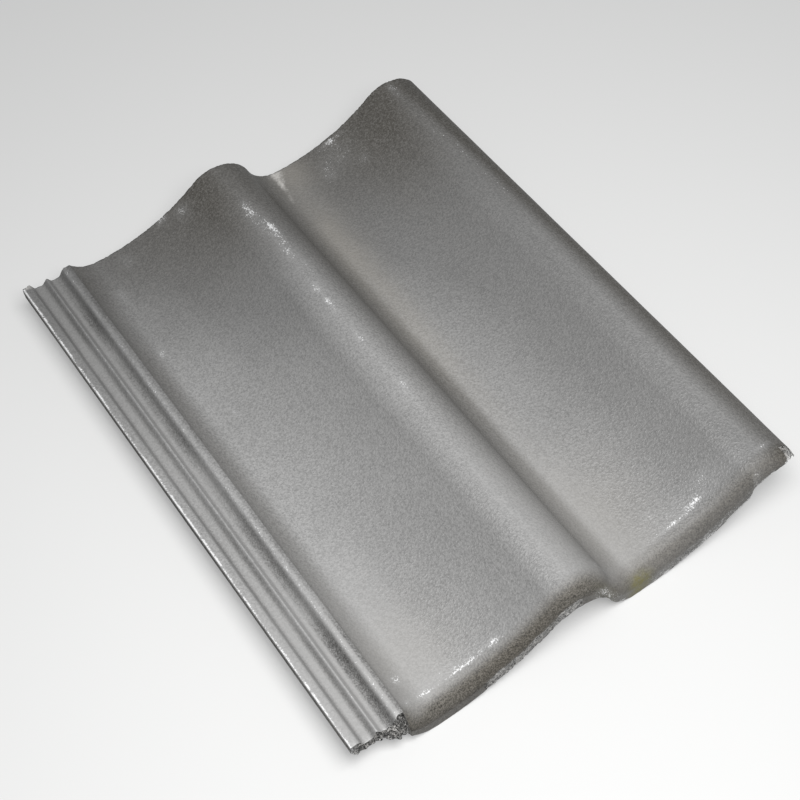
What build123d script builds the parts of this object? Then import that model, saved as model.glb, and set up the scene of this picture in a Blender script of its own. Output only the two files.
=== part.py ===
import os
from math import atan2, cos, hypot, sin, sqrt

from build123d import *

# Overall sizes of the tile, in mm
tile_length = 420.0
cover_width = 300.0
side_lap = 32.0
waves = 2

# Wave of the top face, with heights counted from the bottom of a trough
wave_height = 34.0
crest_radius = 29.0
crest_to_trough = 49.0
first_trough = 56.0
body_thickness = 12.0

# How far nose lip and nibs hang below a trough; they are level, so that tiles stack level
foot_drop = 9.0

# Nose, the lower end that shows on the roof
nose_projection = 6.0
nose_rounding = 11.0
nose_depth = 12.0
nose_taper = 24.0
nose_gap_to_lock = 6.0
lip_trim = 1.0

# The nose lip runs out in a ramp under the side lock
ramp_start = 20.0
ramp_bite = 2.0

# Side lock, a strip with two water channels along the left side
outer_rib_width = 6.2
outer_rib_height = 10.0
outer_face_foot = 1.5
outer_chamfer = 4.0
first_channel_width = 8.0
first_channel_floor = 4.0
middle_rib_width = 1.8
middle_rib_height = 8.0
second_channel_width = 7.0
second_channel_floor = 3.5
inner_rib_height = 10.0
channel_draft = 1.6
inner_wall_run = 3.2
lock_floor_thickness = 8.5
rib_rounding = 0.6
channel_rounding = 1.2

# Overlock, the right side that drops into the next tile's side lock
lock_clearance = 1.0
tooth_width = 4.0
tooth_draft = 1.2
leg_width = 4.4
foot_rounding = 1.2
right_edge_rounding = 2.0
overlock_setback = 12.0
overlock_nose_thickness = 8.0

# Hanging nibs near the head, one below each trough
nib_width = 40.0
nib_depth = 13.0
nib_side_draft = 2.0
nib_back_draft = 7.0
nib_rounding = 4.0
nib_bite = 10.0
nib_head_gap = 3.0

# Bars across the underside that close the head lap
bar_drop = 5.0
bar_depth = 6.0
bar_taper = 6.0
bar_first = 46.0
bar_pitch = 24.0
bar_count = 2

# Derived sizes
tile_width = cover_width + side_lap
wave_pitch = cover_width / waves
crest_centre = wave_height - crest_radius
head = tile_length - nose_projection
stack_pitch = body_thickness + foot_drop
far = 2 * tile_width


def touching_arcs(run):
    """Slope where crest and trough arcs touch, and the trough's radius, over a half wave."""
    slope = 2 * atan2(wave_height, run)
    radius_sum = (run**2 + wave_height**2) / (2 * wave_height)
    return slope, radius_sum - crest_radius


rise_slope, trough_radius = touching_arcs(wave_pitch - crest_to_trough)
fall_slope, foot_radius = touching_arcs(crest_to_trough)

# The body starts on the foot arc, where that arc is as high as the lock's inner rib
body_start = first_trough - sqrt(foot_radius**2 - (foot_radius - inner_rib_height) ** 2)
under_radius = foot_radius + body_thickness
body_underside = foot_radius - sqrt(under_radius**2 - (first_trough - body_start) ** 2)


def arc(x, z, radius, start, end):
    """Arc about x, z; angles count from straight up towards the right."""
    angles = (start, (start + end) / 2, end)
    return ThreePointArc(*[(x + radius * sin(a), 0, z + radius * cos(a)) for a in angles])


def wave_line(depth):
    """The wave, so many mm below the top face, from the crest before it to the foot after it."""
    parts = []
    for n in range(waves + 1):
        trough = first_trough + n * wave_pitch
        crest = trough - crest_to_trough
        start = -rise_slope if n else 0
        parts.append(arc(crest, crest_centre, crest_radius - depth, start, fall_slope))
        parts.append(arc(trough, foot_radius, -foot_radius - depth, fall_slope, 0))
        if n < waves:
            parts.append(arc(trough, trough_radius, -trough_radius - depth, 0, -rise_slope))
    return Wire([part.edge() for part in parts])


def band(upper, lower):
    """Face between two lines that run from left to right."""
    left = Line(upper @ 0, lower @ 0)
    right = Line(upper @ 1, lower @ 1)
    return make_face([*upper.edges(), *lower.edges(), left.edge(), right.edge()])


def polygon(*points):
    """Upright face through x, z points."""
    return make_face(Polyline(*[(x, 0, z) for x, z in points], close=True).edges())


def rounded(face, radius, *corners):
    """The face with the corners at these x, z points rounded."""
    places = [Vector(x, 0, z) for x, z in corners]
    chosen = [v for v in face.vertices() if min(map(v.distance_to, places)) < radius / 10]
    return fillet(chosen, radius)


def along(face, start, end):
    """Upright face stretched along the tile from one place to another."""
    return extrude(Pos(0, start, 0) * face, amount=end - start, dir=(0, 1, 0))


def strip(left, right):
    """Upright face that keeps what lies between two places across the tile."""
    return polygon((left, -far), (right, -far), (right, far), (left, far))


def on_top_face(edge):
    """Whether an edge at the nose belongs to the wave of the top face."""
    middle = edge @ 0.5
    place = Vector(middle.X, 0, middle.Z)
    return min(part.distance_to(place) for part in wave_line(0).edges()) < body_thickness / 1000


def tile_below():
    """The tile below in a stack, under the body: nothing but the nibs hangs into its top face."""
    top = Pos(0, 0, -stack_pitch) * wave_line(0)
    face = band(top, Pos(0, 0, -far) * top) & strip(body_start, cover_width)
    return along(face.face(), -nose_projection, head)


def body():
    """The waved plate with its rounded nose and right edge."""
    slab = along(band(wave_line(0), wave_line(body_thickness)), -nose_projection, head)
    nose_edges = slab.edges().group_by(Axis.Y)[0]
    slab = fillet([edge for edge in nose_edges if on_top_face(edge)], nose_rounding)
    plate = slab & along(strip(body_start, tile_width), -nose_projection, head)
    right_edges = plate.edges().filter_by(Axis.Y).group_by(Axis.X)[-1]
    return fillet(right_edges.sort_by(Axis.Z)[-1], right_edge_rounding)


def hanging_wave(drop, start, depth, taper):
    """A wave that hangs below the plate: flat along its depth, then tapered back into the plate."""
    under = wave_line(body_thickness)
    face = band(under, Pos(0, 0, -drop) * under)
    face = (face & strip(body_start, cover_width - nose_gap_to_lock)).face()
    block = along(face, start, start + depth)
    back = Pos(0, start + depth, 0) * face
    return block + extrude(back, amount=hypot(taper, drop), dir=(0, taper, drop))


def nose_lip():
    """The lip that rests on the tile below, with a little to trim off so that it fits closely."""
    return hanging_wave(foot_drop + lip_trim, -nose_projection, nose_depth, nose_taper)


def bars():
    """Bars across the underside, behind the nose lip."""
    starts = [bar_first + n * bar_pitch for n in range(bar_count)]
    return [hanging_wave(bar_drop, start, bar_depth, bar_taper) for start in starts]


# Stations across the side lock, from its outer face
channel_1_left = outer_rib_width + channel_draft
channel_1_right = channel_1_left + first_channel_width
middle_left = channel_1_right + channel_draft
middle_right = middle_left + middle_rib_width
channel_2_left = middle_right + channel_draft
channel_2_right = channel_2_left + second_channel_width
inner_left = channel_2_right + inner_wall_run
lock_underside = min(first_channel_floor, second_channel_floor) - lock_floor_thickness


def side_lock():
    """The strip with the two water channels."""
    rib_corners = (
        (0, outer_rib_height),
        (outer_rib_width, outer_rib_height),
        (middle_left, middle_rib_height),
        (middle_right, middle_rib_height),
        (inner_left, inner_rib_height),
    )
    channel_corners = (
        (channel_1_left, first_channel_floor),
        (channel_1_right, first_channel_floor),
        (channel_2_left, second_channel_floor),
        (channel_2_right, second_channel_floor),
    )
    face = polygon(
        (0, outer_face_foot),
        *rib_corners[:2],
        *channel_corners[:2],
        *rib_corners[2:4],
        *channel_corners[2:],
        rib_corners[4],
        (body_start, inner_rib_height),
        (body_start, body_underside),
        (outer_chamfer, lock_underside),
    )
    face = rounded(face, rib_rounding, *rib_corners)
    face = rounded(face, channel_rounding, *channel_corners)
    return along(face, 0, head)


def ramp():
    """The end of the nose lip under the side lock, tapered back at the lip's own slope."""
    top = lock_underside + ramp_bite
    foot = inner_rib_height - stack_pitch
    flat_end = nose_depth - nose_projection
    taper_end = flat_end + (top - foot) * nose_taper / foot_drop
    section = polygon((ramp_start, top), (ramp_start, lock_underside), (body_start, foot), (body_start, top))
    side = Polyline((0, 0, top), (0, 0, foot), (0, flat_end, foot), (0, taper_end, top), close=True)
    return along(section, 0, taper_end) & extrude(make_face(side.edges()), amount=far, dir=(1, 0, 0))


# The next tile's inner wall, one clearance to the left of it: its lean, foot and top
wall_lean = inner_wall_run / (inner_rib_height - second_channel_floor)
wall_foot = cover_width + channel_2_right + lock_clearance * (wall_lean - 1)
wall_top = wall_foot + inner_wall_run
first_foot = first_channel_floor + lock_clearance
second_foot = second_channel_floor + lock_clearance
rib_clear = inner_rib_height + lock_clearance


def next_lock_space():
    """Room for the next tile's second channel and inner rib, with its clearance."""
    face = polygon(
        (cover_width, -far),
        (cover_width, second_foot),
        (wall_foot, second_foot),
        (wall_top, rib_clear),
        (far, rib_clear),
        (far, -far),
    )
    return along(face, -nose_projection, head)


def nose_relief():
    """Room under the overlock's nose, where only a thin plate covers the next tile's side lock."""
    under = wave_line(overlock_nose_thickness)
    face = band(under, Pos(0, 0, -far) * under) & strip(cover_width, far)
    return along(face.face(), -nose_projection, overlock_setback - nose_projection)


def tooth():
    """The tooth that stands in the middle of the next tile's first channel."""
    left = cover_width + (channel_1_left + channel_1_right - tooth_width) / 2
    right = left + tooth_width
    root = crest_centre + crest_radius - body_thickness + tooth_draft
    feet = ((left, first_foot), (right, first_foot))
    face = polygon(*feet, (right + tooth_draft, root), (left - tooth_draft, root))
    return along(rounded(face, foot_rounding, *feet), -nose_projection, head)


def leg():
    """The leg that stands beside the inner wall of the next tile's second channel."""
    left = wall_foot - leg_width
    root = rib_clear + lock_clearance + tooth_draft
    lean = wall_lean * (root - second_foot)
    feet = ((left, second_foot), (wall_foot, second_foot))
    face = polygon(*feet, (wall_foot + lean, root), (left - tooth_draft, root))
    return along(rounded(face, foot_rounding, *feet), -nose_projection, head)


def nibs():
    """Hanging nibs: upright towards the batten, drafted on their sides and back."""
    foot = -stack_pitch
    root = -body_thickness + nib_bite
    batten_face = head - nib_head_gap - nib_depth - nib_back_draft
    back = batten_face + nib_depth
    side = Polyline(
        (0, batten_face, root),
        (0, batten_face, foot),
        (0, back, foot),
        (0, back + nib_back_draft, root),
        close=True,
    )
    half = nib_width / 2
    wide = half + nib_side_draft
    blank = extrude(make_face(side.edges()), amount=wide, dir=(1, 0, 0), both=True)
    blank = blank & along(polygon((-half, foot), (half, foot), (wide, root), (-wide, root)), batten_face, head)
    upright = blank.edges().filter_by(lambda edge: edge.bounding_box().size.Z > foot_drop)
    blank = fillet(upright.group_by(Axis.Y)[-1], nib_rounding)
    return [Pos(first_trough + n * wave_pitch, 0, 0) * blank for n in range(waves)]


def roof_tile():
    """The whole tile as one solid, standing on its nibs and nose, with its middle at the origin."""
    tile = body() + nose_lip() + bars() - tile_below()
    tile = tile + side_lock() + ramp() + tooth() + leg() + nibs()
    tile = tile - next_lock_space() - nose_relief()
    place = Pos(-tile_width / 2, nose_projection - tile_length / 2, stack_pitch)
    return place * tile


os.makedirs("parts", exist_ok=True)
shape = roof_tile()
export_step(shape, "parts/roof_tile.step")
box = shape.bounding_box()
print("roof_tile", len(shape.solids()), "solid", round(shape.volume), "mm3", box.min, box.max)
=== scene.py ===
# %% [markdown]
# A double-wave roof tile of anthracite concrete
#
# The real tile is one piece. Wet mortar is rolled out over a mould, cut to length, hardened and
# coated. So everything here is one closed surface with one finish: a fine orange-peel coat on top,
# bare granular mortar where the cutter tore the ends, and plain mortar below. The sizes are in
# millimetres, counted as on a drawing: x from the outer face of the side lock, y up the roof from
# the lock's cut end, and z from the bottom of a trough.

import bpy
import numpy as np
from mathutils import Matrix, Vector


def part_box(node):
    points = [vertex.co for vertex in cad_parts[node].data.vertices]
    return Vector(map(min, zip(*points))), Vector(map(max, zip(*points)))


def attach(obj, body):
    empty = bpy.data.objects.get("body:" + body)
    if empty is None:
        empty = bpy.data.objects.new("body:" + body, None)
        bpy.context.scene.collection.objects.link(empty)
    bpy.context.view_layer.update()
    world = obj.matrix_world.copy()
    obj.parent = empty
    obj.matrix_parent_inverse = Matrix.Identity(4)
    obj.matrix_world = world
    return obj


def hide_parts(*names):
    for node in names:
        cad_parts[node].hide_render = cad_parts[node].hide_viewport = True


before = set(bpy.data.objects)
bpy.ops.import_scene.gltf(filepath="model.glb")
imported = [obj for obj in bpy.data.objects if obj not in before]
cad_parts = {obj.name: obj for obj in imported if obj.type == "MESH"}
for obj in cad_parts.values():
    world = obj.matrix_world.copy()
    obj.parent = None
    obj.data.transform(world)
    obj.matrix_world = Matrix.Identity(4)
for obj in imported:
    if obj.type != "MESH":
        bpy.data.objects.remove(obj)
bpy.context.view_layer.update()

low, high = (np.array(corner) * 1000 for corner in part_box("roof_tile"))
tile_width, tile_length, tile_height = high - low
print("tile, mm:", np.round(high - low, 1))

# %% [markdown]
# The wave
#
# A roller with a waved edge shapes the mortar, so the section is the same all along the tile. It
# could be drawn as a spline through measured points, but a maker thinks in radii: one wave is four
# arcs that touch, which are half a crest, the steep fall into the foot, the flat rise out of the
# trough and the other half of the crest.

# %% Sizes of the wave
cover_width = 300.0
wave_pitch = 150.0
wave_height = 34.0
crest_radius = 29.0
crest_to_trough = 49.0
first_trough = 56.0
rise_run = wave_pitch - crest_to_trough
print("waves in the cover width:", round(cover_width / wave_pitch))


# %% Arcs that touch
def touching_arcs(run):
    """Over a half wave of this run the two arcs touch at the slope 2 atan(height / run), and their
    radii add up to (run^2 + height^2) / (2 height). Returns the slope and the trough's radius."""
    both_radii = (run**2 + wave_height**2) / (2 * wave_height)
    return 2 * np.arctan2(wave_height, run), both_radii - crest_radius


rise_slope, trough_radius = touching_arcs(rise_run)
fall_slope, foot_radius = touching_arcs(crest_to_trough)
print("slopes, degrees:", np.round(np.degrees([rise_slope, fall_slope]), 1))

# %% [markdown]
# Lines inside the plate
#
# A line that runs a constant depth below the face keeps the same centres, and only its radii
# change. So one function of x and depth gives the top face, the underside and every line between
# them, and nothing has to be offset afterwards.


# %% The wave at a depth
def wave(x, depth=0.0):
    """Height of the line that runs this depth below the face: past a trough's bottom the trough
    arc, then the crest's arc about its centre, then the foot's arc, each with its radius changed
    by the depth."""
    from_trough = np.mod(x - first_trough, wave_pitch)
    to_crest = from_trough - rise_run
    to_foot = wave_pitch - from_trough
    in_trough = from_trough < (trough_radius + depth) * np.sin(rise_slope)
    in_crest = to_crest < (crest_radius - depth) * np.sin(fall_slope)
    trough_arc = np.sqrt(np.maximum((trough_radius + depth) ** 2 - from_trough**2, 0))
    crest_arc = np.sqrt(np.maximum((crest_radius - depth) ** 2 - to_crest**2, 0))
    foot_arc = np.sqrt(np.maximum((foot_radius + depth) ** 2 - to_foot**2, 0))
    trough = trough_radius - trough_arc
    crest = wave_height - crest_radius + crest_arc
    foot = foot_radius - foot_arc
    return np.where(in_trough, trough, np.where(in_crest, crest, foot))


first_crest = first_trough + rise_run
print("height of the first crest, mm:", round(float(wave(first_crest)), 1))

# %% [markdown]
# The side lock and the overlock
#
# Beside the wave lie the two water channels of the side lock, and under the last crest hang the
# tooth and the leg that stand in a neighbour's channels on the roof. Their sections are straight
# lines with small roundings. Bevelled boxes could make them too, but a list of corners, read at
# every x and softened by a running mean, stays part of the one surface and rounds a corner as the
# mould does.

# %% Thickness and drop of the plate
body_thickness = 12.0
foot_drop = tile_height - wave_height - body_thickness
nesting_pitch = body_thickness + foot_drop
nose_y = -6.0
head_y = tile_length + nose_y
print("nibs hang", round(float(foot_drop), 1), "mm below the plate")

# %% Corners of the side lock, x and z
lock_corners = (
    (0, 10), (6.2, 10), (7.8, 4), (15.8, 4), (17.4, 8),
    (19.2, 8), (20.8, 3.5), (27.8, 3.5), (31, 10), (60, 10),
)
inner_rib_height = 10.0
to_body = np.sqrt(foot_radius**2 - (foot_radius - inner_rib_height) ** 2)
body_start = first_trough - to_body
body_underside = float(wave(body_start, body_thickness))
lock_below = ((0, 1.5), (4, -5), (body_start, body_underside), (60, body_underside))
ramp_foot = inner_rib_height - nesting_pitch
lip_ramp = ((20, -5), (body_start, ramp_foot), (60, ramp_foot))
print("the body starts at x", round(float(body_start), 1))

# %% Corners of the overlock, and the thickness of its torn nose
tooth_corners = ((308.55, 25), (309.8, 5), (313.8, 5), (315.05, 25))
leg_corners = ((321.2, 20), (322.9, 4.5), (345, 4.5))
next_lock_corners = ((299.9, -90), (300, 4.5), (327.3, 4.5), (330.5, 11), (340, 11))
overlock_tear = (
    (294, 12.4), (302, 11.9), (308, 10.2), (313.5, 8.9), (319, 6.3), (323, 3.4), (332, 2.2),
)
print("the overlock is", round(float(tile_width - cover_width), 1), "mm wide")

# %% Reading a section
reading_step = 0.05


def section(corners, x, soft=0.0):
    """Straight lines through x, z corners, read at x. With soft, the mean of the line from x - soft
    to x + soft, which is the difference of its running sum at both ends, over their distance."""
    px, pz = np.array(corners, float).T
    if not soft:
        return np.interp(x, px, pz)
    fine_x = np.arange(px[0] - 2 * soft, px[-1] + 2 * soft, reading_step)
    total = np.cumsum(np.interp(fine_x, px, pz)) * reading_step
    return (np.interp(x + soft, fine_x, total) - np.interp(x - soft, fine_x, total)) / (2 * soft)


print("first channel's floor, mm:", round(float(section(lock_corners, 12.0)), 1))

# %% Top and underside across the tile
right_radius = 2.0
lock_softness = 1.5
tooth_softness = 0.4


def top_height(x):
    """The lock's section before the body starts, the wave after it, and the right edge's quarter
    round taken off, which is the radius less the root of radius^2 - past^2."""
    past = np.clip(x - (tile_width - right_radius), 0, right_radius)
    right_round = right_radius - np.sqrt(right_radius**2 - past**2)
    lock = section(lock_corners, x, lock_softness)
    return np.where(x < body_start, lock, wave(x)) - right_round


def under_height(x):
    """The plate's underside: its thickness below the face, but never further than the pitch at
    which such tiles nest. The tooth and the leg are in where they reach lower, and it is cut off
    where a neighbour's lock passes on the roof."""
    plate = np.maximum(wave(x, body_thickness), wave(x) - nesting_pitch)
    tooth = section(tooth_corners, x, tooth_softness)
    leg = section(leg_corners, x, tooth_softness)
    hung = np.minimum(plate, np.minimum(tooth, leg))
    overlock = np.maximum(hung, section(next_lock_corners, x))
    body = np.where(x > cover_width, overlock, plate)
    return np.where(x < body_start, section(lock_below, x), body)


middle = cover_width / 2
upright_thickness = float(top_height(middle) - under_height(middle))
print("plate in the middle, measured upright, mm:", round(upright_thickness, 1))

# %% [markdown]
# The lattice
#
# A closed block has six faces, and the tile is one such block bent into shape: columns across it,
# stations along it, and a few levels through its thickness at the ends. An even grid would need
# millions of faces for the same edges. So columns stand close where the section turns sharply, and
# stations where the nose bends over or a nib starts.


# %% Uneven spacing
def spaced(*spans):
    """Places along a line: each span is its start, its end and the largest step within it, and is
    cut into equal steps, as many as its length over that step, rounded up."""
    parts = []
    for start, end, step in spans:
        count = max(2, int(np.ceil((end - start) / step)) + 1)
        parts.append(np.linspace(start, end, count)[:-1])
    return np.concatenate([*parts, [spans[-1][1]]])


print("three uneven steps:", spaced((0, 1, 0.5), (1, 2, 2)))

# %% Columns across the tile
start_half = 0.25
face_half = 0.3
cut_half = 0.2
lip_end = 294.0
x = spaced(
    # The ribs and channels of the side lock.
    (0, 0.8, 0.4), (0.8, 5.6, 1.2), (5.6, 8.4, 0.4), (8.4, 15.2, 1.0), (15.2, 21.4, 0.4),
    (21.4, 27.2, 1.0), (27.2, 31.6, 0.5), (31.6, body_start - start_half, 1.0),
    # The body, with a step where it starts and where the lip under the nose ends.
    (body_start - start_half, body_start + start_half, 0.5), (body_start + start_half, 42, 0.9),
    (42, 170, 1.3), (170, 194, 0.8), (194, lip_end - face_half, 1.3),
    (lip_end - face_half, lip_end + face_half, 0.6),
    (lip_end + face_half, cover_width - cut_half, 1.3),
    # The overlock, with its tooth and its leg.
    (cover_width - cut_half, cover_width + cut_half, 0.4), (cover_width + cut_half, 308.0, 1.3),
    (308.0, 310.4, 0.35), (310.4, 313.2, 1.0), (313.2, 315.6, 0.35), (315.6, 321.2, 1.0),
    (321.2, 323.5, 0.4), (323.5, 327.3, 0.7), (327.3, tile_width, 0.45),
)
columns = len(x)
print("columns", columns)

# %% Stations along the underside
nose_flat_end = 6.0
bar_starts = (46.0, 70.0)
nib_face = 391.0
nib_step_half = 0.2


def upright(place):
    """The span of an upright face, which is one step wide in the lattice."""
    return (place - face_half, place + face_half, 2 * face_half)


bottom_y = spaced(
    (nose_y, 5.7, 1.5), upright(nose_flat_end), (6.3, 34, 3), (34, 45.7, 4),
    upright(bar_starts[0]), (46.3, 52, 3), (52, 58.5, 2.2), (58.5, 69.7, 4),
    upright(bar_starts[1]), (70.3, 76, 3), (76, 82.5, 2.2), (82.5, 388, 6.5),
    (388, 390.8, 1.4), (nib_face - nib_step_half, nib_face + nib_step_half, 0.4),
    (391.2, 404, 2.2), (404, 408, 0.8), (408, head_y, 1.5),
)
stations = len(bottom_y)
print("stations", stations)

# %% Stations along the top
bend_steps = 11
bend = np.linspace(np.pi / 2, 0, bend_steps)
nose_rounding = 11.0
bend_end = nose_y + nose_rounding
edge_steps = 8
edge_zone = 8.0
first_step = 1.2
last_step = 4.6
straight = stations - bend_steps - edge_steps
near_nose = np.cumsum(np.linspace(first_step, last_step, straight))
near_nose = bend_end + near_nose / near_nose[-1] * (head_y - edge_zone - bend_end)
at_head = np.linspace(head_y - edge_zone, head_y, edge_steps + 1)[1:]
top_y = np.concatenate([np.zeros(bend_steps), near_nose, at_head])
levels = 15
face_pairs = (columns - 1) * (stations - 1) + (columns + stations - 2) * (levels - 1)
print("triangles", 4 * face_pairs)

# %% [markdown]
# Noise that is the same on every run
#
# Torn mortar, chips and the slight unevenness of a cast face are not formulas. They come from
# smooth noise: seeded random values on a square grid, blended between grid points by 3t^2 - 2t^3.
# A texture could push the points as well, but plain arrays can be measured and kept inside the
# tile's size.

# %% Smooth noise
noise_size = 256
noise_shift = 40.0


def ease(t):
    """3t^2 - 2t^3, which leaves 0 and reaches 1 without a corner."""
    return t * t * (3 - 2 * t)


def noise(a, b, cell, seed):
    """Smooth noise from -1 to 1 over two coordinates, whose bumps are about one cell across. The
    shift keeps small negative coordinates on the grid's positive side."""
    grid = np.random.default_rng(seed).uniform(-1, 1, (noise_size, noise_size))
    u = np.asarray(a, float) / cell + noise_shift
    v = np.asarray(b, float) / cell + noise_shift
    i = np.floor(u).astype(int)
    j = np.floor(v).astype(int)
    s = ease(u - i)
    t = ease(v - j)

    def at(row, column):
        return grid[row % noise_size, column % noise_size]

    near = at(i, j) * (1 - s) + at(i + 1, j) * s
    far = at(i, j + 1) * (1 - s) + at(i + 1, j + 1) * s
    return near * (1 - t) + far * t


def ramp(value, start, end):
    """0 before start, 1 after end, and 3t^2 - 2t^3 between them."""
    return ease(np.clip((value - start) / (end - start), 0, 1))


def window(value, start, end, soft=6.0):
    """1 between start and end and 0 outside, with soft ends."""
    rising = ramp(value, start - soft / 2, start + soft / 2)
    return rising * (1 - ramp(value, end - soft / 2, end + soft / 2))


print("noise at three places:", np.round(noise(np.array([0.0, 1.0, 2.0]), 0, 2.2, 3), 2))

# %% [markdown]
# The underside
#
# A tile is upside down when it is interesting: the lip at the nose and the two bars behind it keep
# wind and rain out of the head lap, the nibs hook over the batten, and the overlock is cut away to
# let a neighbour's side lock pass. Separate blocks joined by Booleans would make the same forms
# with worse faces. Seen as a height map, each of them is only a minimum or a maximum of simple
# slopes, so one function of x and y makes the whole underside.

# %% Sizes of what hangs below
lip_taper = 24.0
bar_drop = 5.0
bar_depth = 6.0
nib_centres = (first_trough, first_trough + wave_pitch)
nib_half_width = 18.0
nib_depth = 11.0
nib_rounding = 1.2
nib_slope = 7.0
nib_back_stretch = 0.62
nib_face_stretch = 30.0
print("nibs at x", nib_centres, "bars at y", bar_starts)


# %% The overlock's nose
def overlock_nose(x):
    """Underside of the plate at the overlock's nose, which is torn ever thinner towards the
    corner: the face less the torn thickness, where that is higher than the plain underside."""
    torn = section(overlock_tear, x) + 0.5 * ramp(x, 300, 306) * noise(x, 2, 2.4, 21)
    return np.maximum(under_height(x), wave(x) - torn)


print("thickness at the corner, mm:", round(float(wave(330.0) - overlock_nose(330.0)), 1))


# %% Height map of the underside
def lip_and_bars(y):
    """How far the lip and the bars hang at y: the lip its full drop up to its flat end and then
    less and less over its taper, and a bar its own drop over its depth, with a taper as long."""
    drop = foot_drop * (1 - np.clip((y - nose_flat_end) / lip_taper, 0, 1))
    for bar_start in bar_starts:
        face = np.clip((y - bar_start + face_half) / (2 * face_half), 0, 1)
        taper = 1 - np.clip((y - bar_start - bar_depth) / bar_depth, 0, 1)
        drop = np.maximum(drop, bar_drop * face * taper)
    return drop


def nib(x, y, centre):
    """A nib: a flat foot, and around it a slope times the distance outside the foot less the
    rounding. The distance counts the back at part of its length, and the face that hooks on the
    batten at many times its own."""
    side = np.maximum(np.abs(x - centre) - nib_half_width, 0)
    back = np.maximum(y - nib_face - nib_depth, 0) * nib_back_stretch
    ahead = np.maximum(nib_face + nib_step_half - y, 0) * nib_face_stretch
    outside = np.maximum(np.sqrt(side**2 + back**2 + ahead**2) - nib_rounding, 0)
    return -body_thickness - foot_drop + nib_slope * outside


def underside(x, y):
    """The plate's underside, lowered by the lip and the bars but never further than the nesting
    pitch below the face, then by the ramp under the lock's end and by the nibs."""
    behind = np.clip((y - nose_flat_end + face_half) / (2 * face_half), 0, 1)
    plate = under_height(x)
    torn_plate = overlock_nose(x) * (1 - behind) + plate * behind
    plate = np.where(x > cover_width, torn_plate, plate)
    in_body = ramp(x, body_start - start_half, body_start + start_half)
    in_body = in_body * (1 - ramp(x, lip_end - face_half, lip_end + face_half))
    lowered = wave(x, body_thickness) - lip_and_bars(y) * in_body
    trimmed = np.maximum(lowered, wave(x) - nesting_pitch)
    below = np.where((x > body_start) & (x < cover_width), trimmed, plate)
    rising = ramp_foot + np.maximum(y - nose_flat_end, 0) * foot_drop / lip_taper
    under_lock = np.maximum(section(lip_ramp, x), rising)
    beside_body = (x > lip_ramp[0][0]) & (x < body_start)
    below = np.where(beside_body, np.minimum(below, under_lock), below)
    for centre in nib_centres:
        below = np.minimum(below, nib(x, y, centre))
    return below


lowest_foot = underside(np.array([first_trough]), np.array([nib_face + 5.0]))
print("a nib's foot is at z", np.round(lowest_foot, 1))

# %% [markdown]
# The nose
#
# The top face turns down over the nose on an 11 mm radius. The bend keeps the wave's own family of
# lines: at each angle of the turn the depth below the face is 11 (1 - cos) and the distance ahead
# is 11 sin, so the nose follows the wave without a seam. A Bevel modifier would round the edge
# evenly, but under the overlock the plate is thinner than the radius, and there the bend stops
# where it meets the underside.

# %% The front edge seen from above
is_body = x > body_start
torn_off = 0.9 * noise(x, 0, 2.2, 3) + 0.8 * noise(x, 5, 5.0, 4) + 0.7
lock_end = np.maximum(torn_off, 0) * ramp(x, 4.5, 8.5)
small_chips = np.maximum(1.1 * noise(x, 0, 1.6, 5), 0)
corner_chip = 3.4 * ramp(x, 320, 332) + ramp(x, 312, 320) * small_chips
front = np.where(is_body, nose_y + corner_chip, lock_end)
print("the front edge lies at y", np.round([front.min(), front.max()], 1))

# %% How far the nose turns at each column
points = np.zeros((columns, stations, levels, 3))
angles = np.linspace(0, np.pi / 2, 91)
lock_bend_depth = 0.5
left_of_torn = 0.6
least_wall = 0.4
body_bend_depth = np.minimum(nose_rounding, section(overlock_tear, x) - left_of_torn)
bend_depth = np.where(is_body, body_bend_depth, lock_bend_depth)
bend_run = bend_end - front
lowest = np.where(x > cover_width, overlock_nose(x), under_height(x))
turned = wave(x[:, None], bend_depth[:, None] * (1 - np.cos(angles)))
clear = (turned >= lowest[:, None] + least_wall).cumprod(axis=1).sum(axis=1)
last = np.where(is_body, angles[np.maximum(clear - 1, 1)], np.pi / 2)
turn = last[:, None] * (bend / bend[0])
print("least turn of the nose, degrees:", round(float(np.degrees(last.min())), 1))

# %% Points of the top
depth = bend_depth[:, None] * (1 - np.cos(turn))
bent = wave(x[:, None], depth) - (wave(x) - top_height(x))[:, None]
points[:, :, 0, 0] = x[:, None]
points[:, :, 0, 1] = top_y
points[:, :, 0, 2] = top_height(x)[:, None]
points[:, :bend_steps, 0, 1] = bend_end - bend_run[:, None] * np.sin(turn)
points[:, :bend_steps, 0, 2] = np.where(is_body[:, None], bent, top_height(x)[:, None] - depth)
print("top, mm:", np.round([points[:, :, 0, 2].min(), points[:, :, 0, 2].max()], 1))

# %% Points of the underside
flat_part = bottom_y < nose_flat_end
lower_front = np.where(x > cover_width, np.maximum(front, points[:, 0, 0, 1]), front)
squeeze = (nose_flat_end - lower_front) / (nose_flat_end - nose_y)
squeezed = nose_flat_end - (nose_flat_end - bottom_y) * squeeze[:, None]
points[:, :, -1, 0] = x[:, None]
points[:, :, -1, 1] = np.where(flat_part, squeezed, bottom_y)
points[:, :, -1, 2] = underside(x[:, None], bottom_y)
print("underside, mm:", np.round([points[:, :, -1, 2].min(), points[:, :, -1, 2].max()], 1))

# %% [markdown]
# The narrow faces
#
# At the nose, the head and both sides the tile shows its thickness. Two rows of points joined by
# one long face each would do for a clean cut, but torn mortar needs points to move. So each of the
# four faces gets the same levels, straight between the edge of the top and that of the underside.

# %% Straight between the top and the underside
down = np.linspace(0, 1, levels)
share = down[1:-1, None]
for cut in (np.s_[:, 0], np.s_[:, -1], np.s_[0, :], np.s_[-1, :]):
    edge = points[cut]
    edge[:, 1:-1] = edge[:, :1] * (1 - share) + edge[:, -1:] * share
print("levels through the thickness:", levels)

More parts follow.
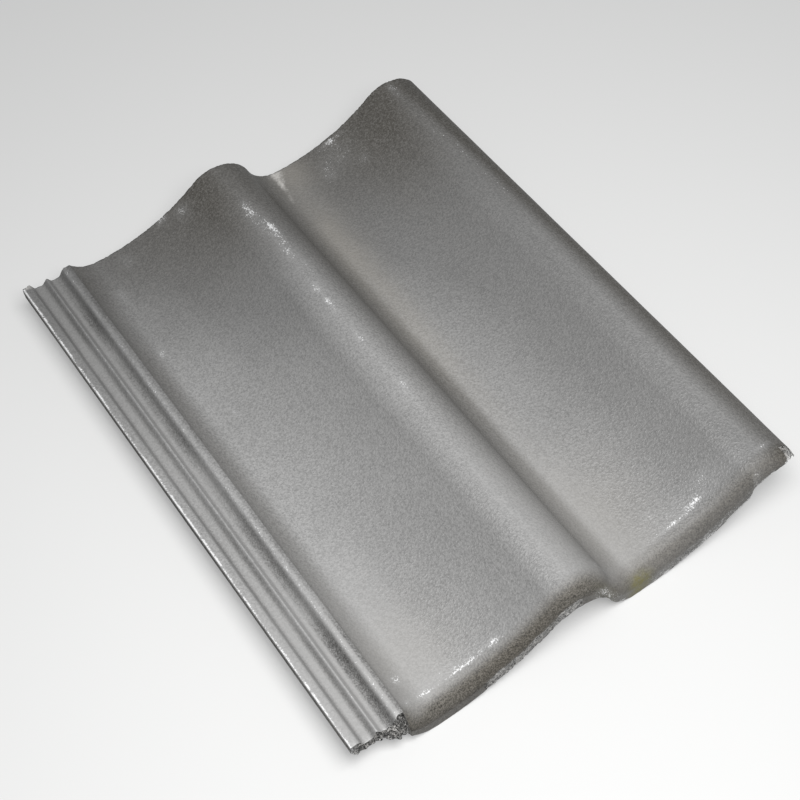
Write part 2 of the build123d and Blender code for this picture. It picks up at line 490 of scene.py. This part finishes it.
# %% [markdown]
# Torn and uneven faces
#
# The cutter drags mortar along at both ends, so the ends are granular, and the lower edge of the
# nose hangs unevenly. The grains move points inwards only, by about a millimetre on the body and
# two on the lock, so the tile keeps its size. The lower part of the lock's end reaches forward, to
# meet the ramp under it. Where the coat has come off the lower nose, torn_nose is 1, and pale_nose
# says where it is rubbed thin. Both are used again for the colours.


# %% Grains, and where the nose is torn or pale
def grains(across, up, size, seed):
    """Mortar grains from 0 to 2: noise of one size, 0.6 of a larger one and 0.4, cut off at 0."""
    large = noise(across, up, 2.4 * size, seed + 1)
    return np.maximum(noise(across, up, size, seed) + 0.6 * large + 0.4, 0)


torn_nose = window(x, 90, 162, 12) * (0.85 + 0.4 * noise(x, 9, 7, 22)) + ramp(x, 316, 325)
torn_nose += 0.5 * window(x, 234, 252, 8)
torn_nose = np.clip(torn_nose, 0, 1)
pale_right = window(x, 168, 300, 10) * (0.6 + 0.3 * noise(x, 4, 9, 23))
pale_nose = 0.5 * window(x, 92, 162, 12) + pale_right
print("torn share of the nose:", round(float(torn_nose.mean()), 2))

# %% The nose face and the lock's torn end
end_face = points[:, 0, :]
forward_reach = 5.2
forward = forward_reach * ramp(x, 17, 31) * (x < body_start)
end_face[:, :, 1] -= forward[:, None] * down**0.8
body_tear = 0.08 + 0.55 * torn_nose[:, None] * ramp(down, 0.25, 0.5)
lock_tear = 0.2 + 1.1 * ramp(x, 4, 7)[:, None]
amount = np.where(is_body[:, None], body_tear, lock_tear)
nose_grains = grains(end_face[..., 0], end_face[..., 2], 1.15, 11)
end_face[:, :, 1] += amount * nose_grains * ramp(down, 0.0, 0.1)
ragged = np.maximum(0.55 * noise(x, 0, 3.1, 13) + 0.65 * noise(x, 0, 9.0, 14) - 0.05, 0)
end_face[:, :, 2] += (np.where(is_body, ragged, 0.5 * ragged))[:, None] * down**2
print("the lower edge is uneven by up to", round(float(ragged.max()), 1), "mm")

# %% The head face, and the slight unevenness of the top
head_face = points[:, -1, :]
head_face[:, :, 1] -= 0.35 * grains(head_face[..., 0], head_face[..., 2], 1.3, 15)
tip_noise = np.maximum(noise(x[:, None], down * 9, 2.6, 17) + 0.5, 0)
lock_tip = ramp(5.0 - x, 0, 3)[:, None] * tip_noise
head_face[:, :, 1] -= 1.6 * lock_tip
unevenness = 0.10
top = points[:, :, 0]
rough_top = noise(top[:, bend_steps:-1, 0], top[:, bend_steps:-1, 1], 24, 31)
top[:, bend_steps:-1, 2] += unevenness * rough_top - unevenness
print("the head is torn back by up to", round(float(head_y - head_face[..., 1].min()), 1), "mm")

# %% [markdown]
# One closed mesh
#
# Only the points on the block's skin become vertices. Each gets one number, which the faces that
# meet at an edge share, so nothing has to be merged afterwards and the surface is closed. Opposite
# faces of the block are wound opposite ways, so that all of them point outwards.

# %% Numbers for the points on the skin
on_skin = np.zeros((columns, stations, levels), bool)
for end in (0, -1):
    on_skin[end] = True
    on_skin[:, end] = True
    on_skin[:, :, end] = True
number = np.where(on_skin, np.cumsum(on_skin).reshape(on_skin.shape) - 1, -1)
print("points on the skin:", int(on_skin.sum()))


# %% Faces and the tile's mesh
def quads(grid, flip):
    """Four-cornered faces over a grid of point numbers, turned round where flip says so."""
    corners = [grid[:-1, :-1], grid[1:, :-1], grid[1:, 1:], grid[:-1, 1:]]
    return np.stack(corners[::-1] if flip else corners, axis=-1).reshape(-1, 4)


faces = np.concatenate([
    quads(number[:, :, 0], False), quads(number[:, :, -1], True),
    quads(number[:, 0, :], True), quads(number[:, -1, :], False),
    quads(number[0, :, :], False), quads(number[-1, :, :], True),
])
to_frame = np.array([low[0], low[1] - nose_y, low[2] + body_thickness + foot_drop])
mesh = bpy.data.meshes.new("tile_surface")
mesh.from_pydata((points[on_skin] + to_frame) / 1000, [], faces)
mesh.validate()
mesh.update()
tile = bpy.data.objects.new("tile_surface", mesh)
bpy.context.scene.collection.objects.link(tile)
print("points", len(mesh.vertices), "faces", len(mesh.polygons))

# %% [markdown]
# Where the wear is
#
# Wear has causes, and they say where it sits. Handling rubs the crests and the crease of the nose,
# rain leaves lime at the head of a valley, and splash water stains the nose face. Painting an
# image would need an unwrapped mesh and would hold a picture. Here each kind of wear is a number
# at every point of the mesh, from 0 to about 1, and so are the painted sheen and painted shade. The
# material's fine noise then breaks it up into specks, so the points needn't be as fine as the
# specks.

# %% Coordinates, sides and soft spots
along = points[..., 1]
across = points[..., 0]
body_only = is_body[:, None, None]
top_side = np.zeros((columns, stations, levels))
top_side[:, :, 0] = 1.0
nose_side = np.zeros((columns, stations, levels))
nose_side[:, 0, :] = is_body[:, None]
above_edge = points[..., 2] - points[:, :1, -1:, 2]
at_nose = np.maximum(top_side * (along < bend_end), nose_side)
low_nose = at_nose * (1 - ramp(above_edge, 9.0, 13.0))


def spots(*places):
    """Sum of soft round spots, amount * exp(-((x - cx) / rx)^2 - ((y - cy) / ry)^2); each place is
    cx, cy, rx, ry and its amount."""
    total = np.zeros(across.shape)
    for cx, cy, rx, ry, amount in places:
        total += amount * np.exp(-(((across - cx) / rx) ** 2) - ((along - cy) / ry) ** 2)
    return total


def paint(name, values):
    """Writes the numbers to the mesh, none below 0, and says how much of it they cover."""
    attribute = mesh.attributes.new(name, "FLOAT", "POINT")
    attribute.data.foreach_set("value", np.maximum(values, 0)[on_skin].astype(np.float32))
    print(name, "on", round(100 * float(values[on_skin].mean()), 1), "% of the points")


print("points of the nose:", int((at_nose > 0).sum()))

# %% [markdown]
# Bare mortar
#
# The coat is sprayed from above, so it reaches the top and the nose face and leaves the underside,
# the head's cut and the outer face of the lock bare. On the nose it has come off with the torn
# mortar along the lower edge.

# %% Bare
bare = np.ones((columns, stations, levels))
bare[:, :, 0] = 0.0
bare[:, 0, :] = np.where(is_body, 0, ramp(x, 1.0, 3.0))[:, None]
bare = np.maximum(bare, low_nose * torn_nose[:, None, None])
paint("bare", bare)

# %% [markdown]
# Rubbed places
#
# What stands out gets rubbed: the crests, the crease of the nose, the ribs of the lock and the
# right front corner. The lock's outer arris is painted bright as well, a painted highlight along
# its rounding besides its wear. A mask from the mesh's curvature would find every edge alike, but
# real wear is uneven, so the larger marks are placed one by one as soft spots.

# %% Marks on the face, each x, y, its two radii and its amount
rubbed = spots(
    # The left crest near the head.
    (157, 366, 3, 6, 0.6), (161.5, 337, 3, 8, 0.6), (158, 316, 2.5, 6, 0.6),
    (163, 300, 3, 60, 0.2), (160, 335, 7, 60, 0.30), (155, 352, 5, 16, 0.35),
    # The right crest.
    (307, 404, 3, 6, 0.6), (313, 300, 4, 100, 0.35), (307, 360, 5, 60, 0.3),
    # The right wave's rise at the head.
    (253, 410, 10, 3, 0.6), (262, 378, 4, 4, 0.5), (236, 386, 5, 5, 0.45),
    (250, 396, 22, 16, 0.4),
    # The left wave's crease at the nose.
    (84, 7.4, 24, 1.1, 0.52), (88, 7.6, 8, 1.6, 0.25), (105, 7.1, 3, 2, 0.65),
    (57, 6.8, 5, 2.0, 0.6), (75, 10, 36, 6, 0.30), (46, 23, 4, 4, 0.7), (43, 6.5, 2, 2, 0.7),
    # The right wave's crease at the nose.
    (261, 11.6, 7, 1.8, 0.62), (243, 8.8, 16, 1.3, 0.6), (256, 14, 36, 9, 0.36),
    (274, 20, 8, 4, 0.25), (236, 23, 4, 3, 0.4), (312, 9, 6, 2.0, 0.5),
    # Between them.
    (182, 8, 4, 1.5, 0.7), (186, 4, 10, 5, 0.4), (120, 4, 30, 4, 0.3),
    # Small marks down the left crest and in the first trough.
    (157, 277, 3, 5, 0.75), (157.5, 262, 2.2, 4, 0.9), (156.5, 254, 2.2, 4, 0.8),
    (157, 224, 3, 9, 0.6), (158.5, 176, 3, 5, 0.8), (53.5, 312.5, 2.2, 3.5, 1.0),
    (69, 242, 2, 3.5, 0.9),
    # The left wave's edge at the head.
    (110, 412, 5, 4, 0.7), (124, 405, 5, 6, 0.7), (74, 402, 4, 5, 0.65), (56, 374, 4, 4, 0.75),
)
print("strongest mark:", round(float(rubbed.max()), 2))

# %% Ribs of the lock and the right front corner
# The lock's outer arris is painted as a bright line, a painted highlight as well as wear.
ribs = (
    1.6 * window(across, -1, 1.0, 0.8)
    + 0.5 * window(across, 5.0, 6.6, 0.8)
    + 0.55 * window(across, 17.2, 19.2, 0.8)
)
ribs = ribs + 0.75 * window(across, 30.8, 33.2, 1.2)
ribs = ribs * (0.62 + 0.25 * noise(along, across, 14, 41))
corner_edge = window(across, 330.5, 340, 1.5) * window(along, -10, 28, 12)
corner = corner_edge + 0.5 * window(across, 325, 340, 4) * (along < 0.5)
print("ribs", round(float(ribs.max()), 2), "corner", round(float(corner.max()), 2))

# %% [markdown]
# The lower edge of the nose
#
# The arris under the nose face takes every knock. It is pale where it is only rubbed, and under
# the right corner a thin line of it is chipped. Its height above the lower edge decides, because
# that edge follows the wave.

# %% Arris and chipped line
arris = nose_side * ramp(down, 0.66, 0.86)
arris = arris * (window(across, 180, 340, 10) + 0.6 * window(across, 36, 90, 10))
arris = arris * (0.3 + 0.7 * noise(across, 3, 5, 44))
chipped = at_nose * window(across, 276, 324, 8) * (1 - ramp(above_edge, 1.2, 2.8))
arris = arris + chipped * (0.85 + 0.9 * noise(across, 3, 4, 45))
print("arris up to", round(float(arris.max()), 2))

# %% All that is rubbed
worn = top_side * (rubbed + ribs + corner) + arris + low_nose * pale_nose[:, None, None]
lock_wear = np.where(is_body, 0, 0.15 + 0.6 * (x < 5))[:, None]
worn[:, 0, :] += lock_wear + 0.5 * ~is_body[:, None] * ramp(down, 0.7, 0.95)
# The top of the lock's outer face is painted pale, a painted highlight along the arris as well as
# wear.
worn[0] = 1.2 * (1 - ramp(down, 0.15, 0.5))
paint("worn", worn)

# %% [markdown]
# Lime, splash with painted shade, and moss
#
# Lime washes out of the mortar and dries where water stands, at the head of the valley. The nose
# face is the drip edge: splashed dirt browns it, less in the feet of the waves, which the water
# rinses, and a little moss has started there. The same mask also darkens the nose face and the band
# where the top turns down to it, as painted shade where they turn away from the light from above.
# The splash fades into the face over some millimetres, as water would leave it, and not along the
# edge of a face of the mesh.

# %% Lime
lime = top_side * spots(
    (205, 411, 5, 6, 1.0), (203, 399, 2.4, 7, 0.95), (201, 383, 2, 3, 0.6),
    (158, 320, 7, 40, 0.15), (4, 413, 4, 3, 0.8),
)
paint("lime", lime)

# %% Splash and painted shade on the nose
# Brown splash and painted shade, on the nose face and where the top turns down to it.
splash_and_shade = np.maximum(top_side * body_only * (1 - ramp(along, -2.5, 7.0)), nose_side)
splash_and_shade = splash_and_shade * (1 - 0.35 * ramp(across, 150, 215))
rinsed = 0.75 * np.exp(-(((across - 186) / 13) ** 2)) + 0.5 * np.exp(-(((across - 44) / 6) ** 2))
splash_and_shade = splash_and_shade * (1 - rinsed * ramp(along, -6, 0))
splash_and_shade = splash_and_shade * (1 - 0.22 * nose_side * ramp(down, 0, 0.2))
paint("splash_and_shade", splash_and_shade)

# %% Moss
moss = np.maximum(nose_side, top_side) * spots((208, -7, 7, 4, 1.9), (180, -6, 9, 3, 0.3))
paint("moss", moss)

# %% [markdown]
# Dust, painted sheen and painted shade
#
# Pale dust settles on what lies flat near the nose and fills the orange peel there. The same mask
# paints the coat paler there as painted sheen, and darker on the slopes, towards the head and on
# the right wave. Painted shade darkens the coat towards the head, where a dark reflection is
# painted in as well, on the slopes, in the foot of each fall, on the right edge's slope and just
# behind the crease of the nose. The slope of the wave itself, from its own formula, says how much
# of each holds.

# %% How steep the face is
slope = np.gradient(wave(x), x)
slope = np.where(slope > 0, slope / np.tan(rise_slope), -0.2 * slope)[:, None, None] * body_only
slope = np.clip(slope, 0, 1) ** 0.7
print("mean of the slope's share:", round(float(slope.mean()), 2))

# %% Dust and painted sheen
# Dust and painted sheen: paler near the nose, darker on slopes, at the head and on the right wave.
dust_and_sheen = 1 - ramp(along, 180, 420) - 0.65 * slope - 0.7 * ramp(across, 170, 320)
dust_and_sheen = dust_and_sheen + 0.2 * window(across, 46, 92, 20) * window(along, 250, 390, 60)
# The rises near the nose get less of the painted sheen.
rise_with_less_sheen = 0.2 * window(across, 78, 132, 20) + 0.2 * window(across, 140, 166, 16)
dust_and_sheen = dust_and_sheen - rise_with_less_sheen * (1 - ramp(along, 40, 200))
paint("dust_and_sheen", dust_and_sheen)

# %% Painted shade on the face, darkest towards the head
# Painted shade with a painted dark reflection, growing towards the head, strongest on crests and
# slopes.
painted_shade = 0.24 + 0.36 * (wave(x) / wave_height)[:, None, None] + 0.42 * slope
painted_shade = painted_shade + 0.16 * window(across, 214, 290, 20)
first_valley = 0.55 * (1 - ramp(across, 60, 115)) * (1 - ramp(along, 340, 400))
painted_shade = painted_shade * 1.15 * ramp(along, 285, 425) * (1 - first_valley)
print("soot on the face up to", round(float(painted_shade.max()), 2))

# %% Painted shade in the foot of each fall
after_first = across > first_trough
foot = np.mod(across - first_trough, wave_pitch)
# Painted shade in the foot of each fall, which turns away from the light.
shade_in_foot = ramp(foot, 98, 134) * (1 - ramp(foot, 137 + 5 * after_first, 149.5))
shade_in_foot = shade_in_foot * (1 - 0.4 * (across < first_trough))
shade_in_foot = shade_in_foot * (0.65 + 0.45 * ramp(along, 0, 200)) * (1 - 0.75 * ramp(along, 280, 380))
valley_out_of_shade = 1 - 0.9 * np.exp(-(((across - 212) / 11.5) ** 2))
print("soot in the feet up to", round(float(shade_in_foot.max()), 2))

# %% Painted shade on the right slope and along the bend
# The right edge's slope, turned away from the light, darkened as painted shade.
right_slope = 0.6 * ramp(across, 303, 328)
right_slope = right_slope + 0.3 * ramp(across, 318, 330) * ramp(along, 20, 200)
right_slope = right_slope + 0.15 * window(across, 256, 330, 30) * ramp(along, 220, 320)
# A band just behind the crease of the nose, darkened as painted shade.
bend_line = 0.22 * window(along, -2.5, 6, 5) * (1 - 0.9 * window(across, 166, 202, 16))
bend_line = bend_line * ramp(across, 52, 66)
bend_line = bend_line * (1 + 0.7 * ramp(across, 215, 230))
shade_on_face_and_feet = (painted_shade + 0.62 * shade_in_foot) * valley_out_of_shade
painted_shade = top_side * body_only * (shade_on_face_and_feet + right_slope + bend_line)
paint("painted_shade", painted_shade)

# %% [markdown]
# A warm film, dark channel walls and painted shade
#
# Washed-in dust turns the valley's foot brownish, so it gets a mask of its own. The walls of the
# lock's channels are made darker and grainier than anything on the face. The band at the foot of
# the inner rib, where the body starts, is painted shade, and so are the dark hollows between the
# grains at the lock's torn end.

# %% Warm film
warm = top_side * spots(
    (214, 405, 14, 18, 0.7), (210, 330, 14, 60, 0.4), (206, 250, 11, 120, 0.5),
    (215, 30, 30, 60, 0.3), (60, 30, 30, 40, 0.25),
)
paint("warm", warm)

# %% Dark channel walls, and painted shade at the rib's foot and the torn end
dirt_and_shade = (
    0.9 * window(across, 24.5, 30.4, 2.5)
    # The foot of the inner rib, where the body starts, is painted shade.
    + 0.8 * window(across, 34.6, 37.6, 1.6)
    + 0.6 * window(across, 14, 17.4, 2)
    + 0.45 * window(across, 6.6, 9.5, 2)
)
dirt_and_shade = top_side * dirt_and_shade * (0.75 + 0.5 * noise(along, across, 30, 42))
# At the lock's torn end the mask is painted shade for the hollows between the grains.
dirt_and_shade[:, 0, :] += np.where(is_body, 0, 1.0)[:, None]
paint("dirt_and_shade", dirt_and_shade)

# %% [markdown]
# Shader maths as plain expressions
#
# A finish is arithmetic on masks and colours. Linking dozens of Math nodes by hand hides that, so
# one small class wraps a socket, and a sum or a product written in Python adds the Math node it
# stands for.


# %% Wrapping a socket
class Flow:
    """A socket's value in the material being made. Arithmetic on it adds Math nodes."""

    tree = None

    def __init__(self, socket):
        self.socket = socket

    @classmethod
    def node(cls, kind, inputs, output=0, **settings):
        """Adds a node, applies its settings, sets or links its sockets, and returns an output."""
        made = cls.tree.nodes.new(kind)
        for name, value in settings.items():
            setattr(made, name, value)
        for name, value in inputs.items():
            if isinstance(value, Flow):
                cls.tree.links.new(value.socket, made.inputs[name])
            else:
                made.inputs[name].default_value = value
        return cls(made.outputs[output]) if len(made.outputs) else None

    def maths(self, operation, *others):
        """A Math node on this value and the others."""
        return Flow.node("ShaderNodeMath", dict(enumerate((self, *others))), operation=operation)

    def __add__(self, other):
        return self.maths("ADD", other)

    def __sub__(self, other):
        return self.maths("SUBTRACT", other)

    def __rsub__(self, other):
        return self * -1.0 + other

    def __mul__(self, other):
        return self.maths("MULTIPLY", other)

    __radd__, __rmul__ = __add__, __mul__

    def ramp(self, start, end):
        """0 at start, 1 at end and smooth between them, held outside."""
        ends = {"Value": self, "From Min": start, "From Max": end}
        return Flow.node("ShaderNodeMapRange", ends, interpolation_type="SMOOTHSTEP")


# %% The material, its coordinates and its helpers
material = bpy.data.materials.new("anthracite_coat")
material.use_nodes = True
Flow.tree = material.node_tree
Flow.tree.nodes.clear()
metres = Flow.node("ShaderNodeTexCoord", {}, output=3)
place = Flow.node("ShaderNodeVectorMath", {0: metres, 3: 1000.0}, operation="SCALE")


def speckle(size, detail=2.0, roughness=0.5, seed=0.0):
    """Noise from 0 to 1 whose bumps are this many mm across; the seed is a shift along w."""
    inputs = {"Vector": place, "W": seed, "Scale": 1 / size}
    inputs.update({"Detail": detail, "Roughness": roughness})
    return Flow.node("ShaderNodeTexNoise", inputs, noise_dimensions="4D")


def axis(output):
    """The object's own x, y or z in millimetres, for 0, 1 or 2."""
    return Flow.node("ShaderNodeSeparateXYZ", {0: place}, output=output)


def mixed(share, first, second):
    """The first colour turned into the second by a share from 0 to 1."""
    return Flow.node("ShaderNodeMix", {0: share, 6: first, 7: second}, output=2, data_type="RGBA")


def grey(value, warmth=0.0):
    """A nearly neutral colour of this brightness; warmth shifts it from blue to yellow."""
    return (value * (1 + warmth), value, value * (1 - 1.6 * warmth), 1.0)


def painted(name):
    """A number that was painted on the points."""
    return Flow.node("ShaderNodeAttribute", {}, output=2, attribute_name=name)


print("a warm grey:", np.round(grey(0.3, 0.1), 3))

# %% [markdown]
# The coat and the mortar
#
# The coat is an acrylic film on wet-pressed mortar: it follows the sand grains, which gives the
# orange-peel look, and it thins out where something rubs. A single noise looks like plastic. So
# the colour starts as the coat, grows dusty or stained in places, takes painted sheen and painted
# shade, and gives way to pale mortar dust where it is worn and to sand and cement where it is torn.

# %% Noise of different sizes
peel = speckle(1.7, 2.0, 0.65)
fine = speckle(0.8, 1.0, 0.5, 3.0)
cloud = speckle(55, 3.0, 0.55, 7.0)
grit = speckle(1.1, 3.0, 0.75, 9.0)
flecks = speckle(1.0, 2.0, 0.75, 13.0)
mottle = speckle(4.5, 3.0, 0.7, 15.0)
tear_edge = speckle(2.6, 2.0, 0.6, 5.0)
grain = (peel - 0.5) * 1.9 + (fine - 0.5) * 1.4
nose_grain = (peel - 0.5) * 0.7 + (fine - 0.5) * 2.2
sand = grit + (speckle(2.2, 1.0, 0.5, 19.0) - 0.5) * 0.8
print("nodes so far:", len(Flow.tree.nodes))

# %% [markdown]
# Sharp edges from soft masks
#
# A painted mask is soft, and a chip is not. Adding noise to the mask and cutting the sum off
# between two close values gives a ragged, sharp border, and the border moves outwards as the mask
# grows. Torn and rubbed_off are made that way, and limed with a wider ramp, because lime fades out.

# %% Masks
torn = (painted("bare").maths("MINIMUM", 1.0) + (tear_edge - 0.5) * 0.7).ramp(0.44, 0.56)
rubbed_off = (painted("worn") * ((mottle - 0.5) * 0.9 + 0.34) + flecks).ramp(0.76, 0.84)
limed = (painted("lime") + (mottle - 0.5) * 0.9 + (peel - 0.5) * 1.4).ramp(0.12, 1.15)
in_channels = (axis(2) * -1.0).ramp(-31, -24) * (axis(0) * -1.0).ramp(128, 136)
towards_nose = axis(1) * -1.0
filled = towards_nose.ramp(40, 160) * painted("dust_and_sheen").ramp(0.4, 1.0)
torn_end = towards_nose.ramp(194, 199)
print("nodes so far:", len(Flow.tree.nodes))

# %% [markdown]
# From clean coat to stained and shaded coat
#
# The layers go on one after the other: the coat, paler towards the nose with dust and painted
# sheen, then the painted shade, then the dark pits and light tips of the orange peel, the film in
# the channels and valleys, and last the stains and the painted shade of the nose. Dust fills the
# pits near the nose, so the grain is weaker where the mask filled is high.

# %% The coat
dark_pit = (grain + 0.42).ramp(0.0, 1.0) * (filled * -0.24 + 0.45)
light_tip = (grain * -1.0 + 0.35).ramp(0.0, 1.0) * painted("painted_shade").maths("MINIMUM", 1.0) * 0.4
# Dust and painted sheen turn the coat's grey paler towards the nose.
coat = mixed(painted("dust_and_sheen") + (cloud - 0.5) * 0.4, grey(0.205, 0.010), grey(0.358, 0.008))
# Painted shade: a dark brownish grey where the shade mask is high.
coat = mixed(painted("painted_shade") * (cloud * 0.5 + 0.75), coat, grey(0.070, 0.11))
coat = mixed(dark_pit, coat, grey(0.05))
coat = mixed(light_tip, coat, grey(0.30, 0.01))
coat = mixed(in_channels * 0.45, coat, grey(0.30, 0.01))
coat = mixed(painted("warm") * (cloud * 0.8 + 0.15), coat, grey(0.30, 0.085))
# The channel walls darker and grainier, and painted shade at the foot of the inner rib.
coat = mixed(painted("dirt_and_shade") * (mottle * 0.9 + fine * 1.6 - 0.5), coat, grey(0.075, 0.02))
print("nodes so far:", len(Flow.tree.nodes))

# %% Stains, the nose's painted shade, and worn places on the coat
# A dark brown for the nose's splash and painted shade.
splash_and_shade_colour = mixed(nose_grain + 0.5, grey(0.110, 0.14), grey(0.025, 0.10))
moss_colour = (0.17, 0.155, 0.045, 1.0)
coat = mixed(painted("splash_and_shade") * (cloud * 0.4 + 0.70 + nose_grain * 0.3), coat, splash_and_shade_colour)
coat = mixed(painted("moss") * (mottle * 2.0 - 0.45), coat, moss_colour)
coat = mixed(limed * 0.8, coat, grey(0.60, 0.03))
coat = mixed(painted("worn") * 0.22, coat, grey(0.50, 0.0))
coat = mixed(rubbed_off, coat, grey(0.74, 0.0))
print("nodes so far:", len(Flow.tree.nodes))

# %% [markdown]
# The mortar
#
# Broken mortar shows pale sand in dark cement, while mortar that a mould or a knife has closed is
# an even grey. The torn nose and the lock's end are broken, and the rest of the bare faces are
# closed, so torn_end chooses between the two. Rubbed spots pale it, and at the lock's end painted
# shade darkens the hollows between the grains.

# %% Mortar
closed_mortar = (sand * 0.5 + cloud * 0.5).ramp(0.34, 0.68)
smooth_mortar = mixed(closed_mortar, grey(0.085, 0.04), grey(0.215, 0.03))
broken_mortar = mixed(sand.ramp(0.38, 0.66), grey(0.018, 0.05), grey(0.50, 0.03))
mortar = mixed(torn_end, smooth_mortar, broken_mortar)
mortar = mixed(painted("worn") * grit.ramp(0.3, 0.6), mortar, grey(0.72, 0.01))
# Painted shade in the hollows between the grains at the lock's torn end.
mortar = mixed(painted("dirt_and_shade") * (fine * -7.0 + 3.7), mortar, grey(0.012, 0.02))
mortar = mixed(painted("dirt_and_shade") * (flecks * 6.0 - 3.4), mortar, grey(0.62, 0.02))
colour = mixed(torn, coat, mortar)
print("nodes so far:", len(Flow.tree.nodes))

# %% [markdown]
# Gloss and relief
#
# The film is satin, and everything that lies on it or shows through it is duller. The orange peel
# and the grains are too fine for the mesh, so they go into a Bump node, where a height of 1 stands
# for 0.9 mm, while all that changes the outline is in the points.

# %% Roughness, bump and shader
bump_distance = 0.0009
roughness = torn * 0.4 + rubbed_off * 0.2 + painted("dirt_and_shade").maths("MINIMUM", 1.0) * 0.15
roughness = roughness + painted("splash_and_shade") * 0.35 + 0.42
peel_height = (peel * 0.6 + fine * 0.14) * (filled * -0.6 + 1.0)
height = peel_height + torn * (torn_end * 0.7 + 0.3) * (grit * 2.0 + fine * 0.8)
bump = {"Strength": 1.0, "Distance": bump_distance, "Height": height}
normal = Flow.node("ShaderNodeBump", bump)
finish = {"Base Color": colour, "Roughness": roughness, "Normal": normal}
shader = Flow.node("ShaderNodeBsdfPrincipled", finish)
Flow.node("ShaderNodeOutputMaterial", {"Surface": shader})
mesh.materials.append(material)
mesh.shade_smooth()
print("nodes in the coat:", len(Flow.tree.nodes))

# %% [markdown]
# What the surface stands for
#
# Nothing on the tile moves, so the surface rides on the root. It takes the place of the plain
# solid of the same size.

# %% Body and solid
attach(tile, "root")
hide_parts("roof_tile")
print("shown as", tile.name)

# %% [markdown]
# Floor and backdrop
#
# A plain pale floor shows the tile's shadow and nothing else. One large plane is enough, because
# the camera looks down on it. Light that only the camera sees makes it pale without sending more
# light to the tile.

# %% Floor
floor_half = 6.0
floor_corners = (
    (-floor_half, -floor_half, 0), (floor_half, -floor_half, 0),
    (floor_half, floor_half, 0), (-floor_half, floor_half, 0),
)
floor_mesh = bpy.data.meshes.new("floor")
floor_mesh.from_pydata(floor_corners, [], [(0, 1, 2, 3)])
floor = bpy.data.objects.new("floor", floor_mesh)
bpy.context.scene.collection.objects.link(floor)
paint_material = bpy.data.materials.new("floor_paint")
paint_material.use_nodes = True
floor_tree = paint_material.node_tree
sockets = floor_tree.nodes["Principled BSDF"].inputs
sockets["Base Color"].default_value = (0.45, 0.45, 0.445, 1)
sockets["Roughness"].default_value = 0.9
sockets["Emission Color"].default_value = (0.31, 0.31, 0.31, 1)
seen = floor_tree.nodes.new("ShaderNodeLightPath")
floor_tree.links.new(seen.outputs["Is Camera Ray"], sockets["Emission Strength"])
floor_mesh.materials.append(paint_material)
print("floor,", 2 * floor_half, "m square")

# %% [markdown]
# Light
#
# Soft daylight from above the nose could be a sky texture, but a square softbox is easier to
# place. It stands close and is half a metre wide, so the crests get a soft highlight and the
# falls stay dark. The world adds a little even light from all sides.

# %% Softbox and world
softbox_place = Vector((-0.13, -0.42, 0.95))
softbox_aim = Vector((0.0, -0.20, 0))
softbox = bpy.data.lights.new("sky_box", "AREA")
softbox.shape = "SQUARE"
softbox.size = 0.55
softbox.energy = 13.5
box = bpy.data.objects.new("sky_box", softbox)
box.location = softbox_place
box.rotation_euler = (softbox_aim - softbox_place).to_track_quat("-Z", "Y").to_euler()
bpy.context.scene.collection.objects.link(box)
world = bpy.data.worlds.new("studio")
world.use_nodes = True
background = world.node_tree.nodes["Background"].inputs
background["Color"].default_value = (0.95, 0.98, 1.0, 1)
background["Strength"].default_value = 0.17
bpy.context.scene.world = world
bpy.context.scene.view_settings.view_transform = "Standard"
print("softbox", round((softbox_aim - softbox_place).length, 2), "m from its aim")

# %% [markdown]
# Camera
#
# The camera stands at the nose and looks down along the waves. Its place, aim, roll and lens come
# from lining up the tile's edges with the real one's, so nothing has to be shifted or cropped.

# %% Camera
camera_place = np.array([-319.9, -514.6, 837.9]) / 1000
camera_aim = np.array([-10.3, -27.5, 40.0]) / 1000
camera_roll = np.radians(-2.63)
camera = bpy.data.objects.new("camera", bpy.data.cameras.new("camera"))
camera.data.lens = 68.7
camera.data.sensor_width = 36.0
sight = Vector(camera_aim) - Vector(camera_place)
look = sight.to_track_quat("-Z", "Y").to_matrix().to_4x4()
roll = Matrix.Rotation(camera_roll, 4, "Z")
camera.matrix_world = Matrix.Translation(camera_place) @ look @ roll
bpy.context.scene.collection.objects.link(camera)
bpy.context.scene.camera = camera
print("camera", round(sight.length, 2), "m from its aim")
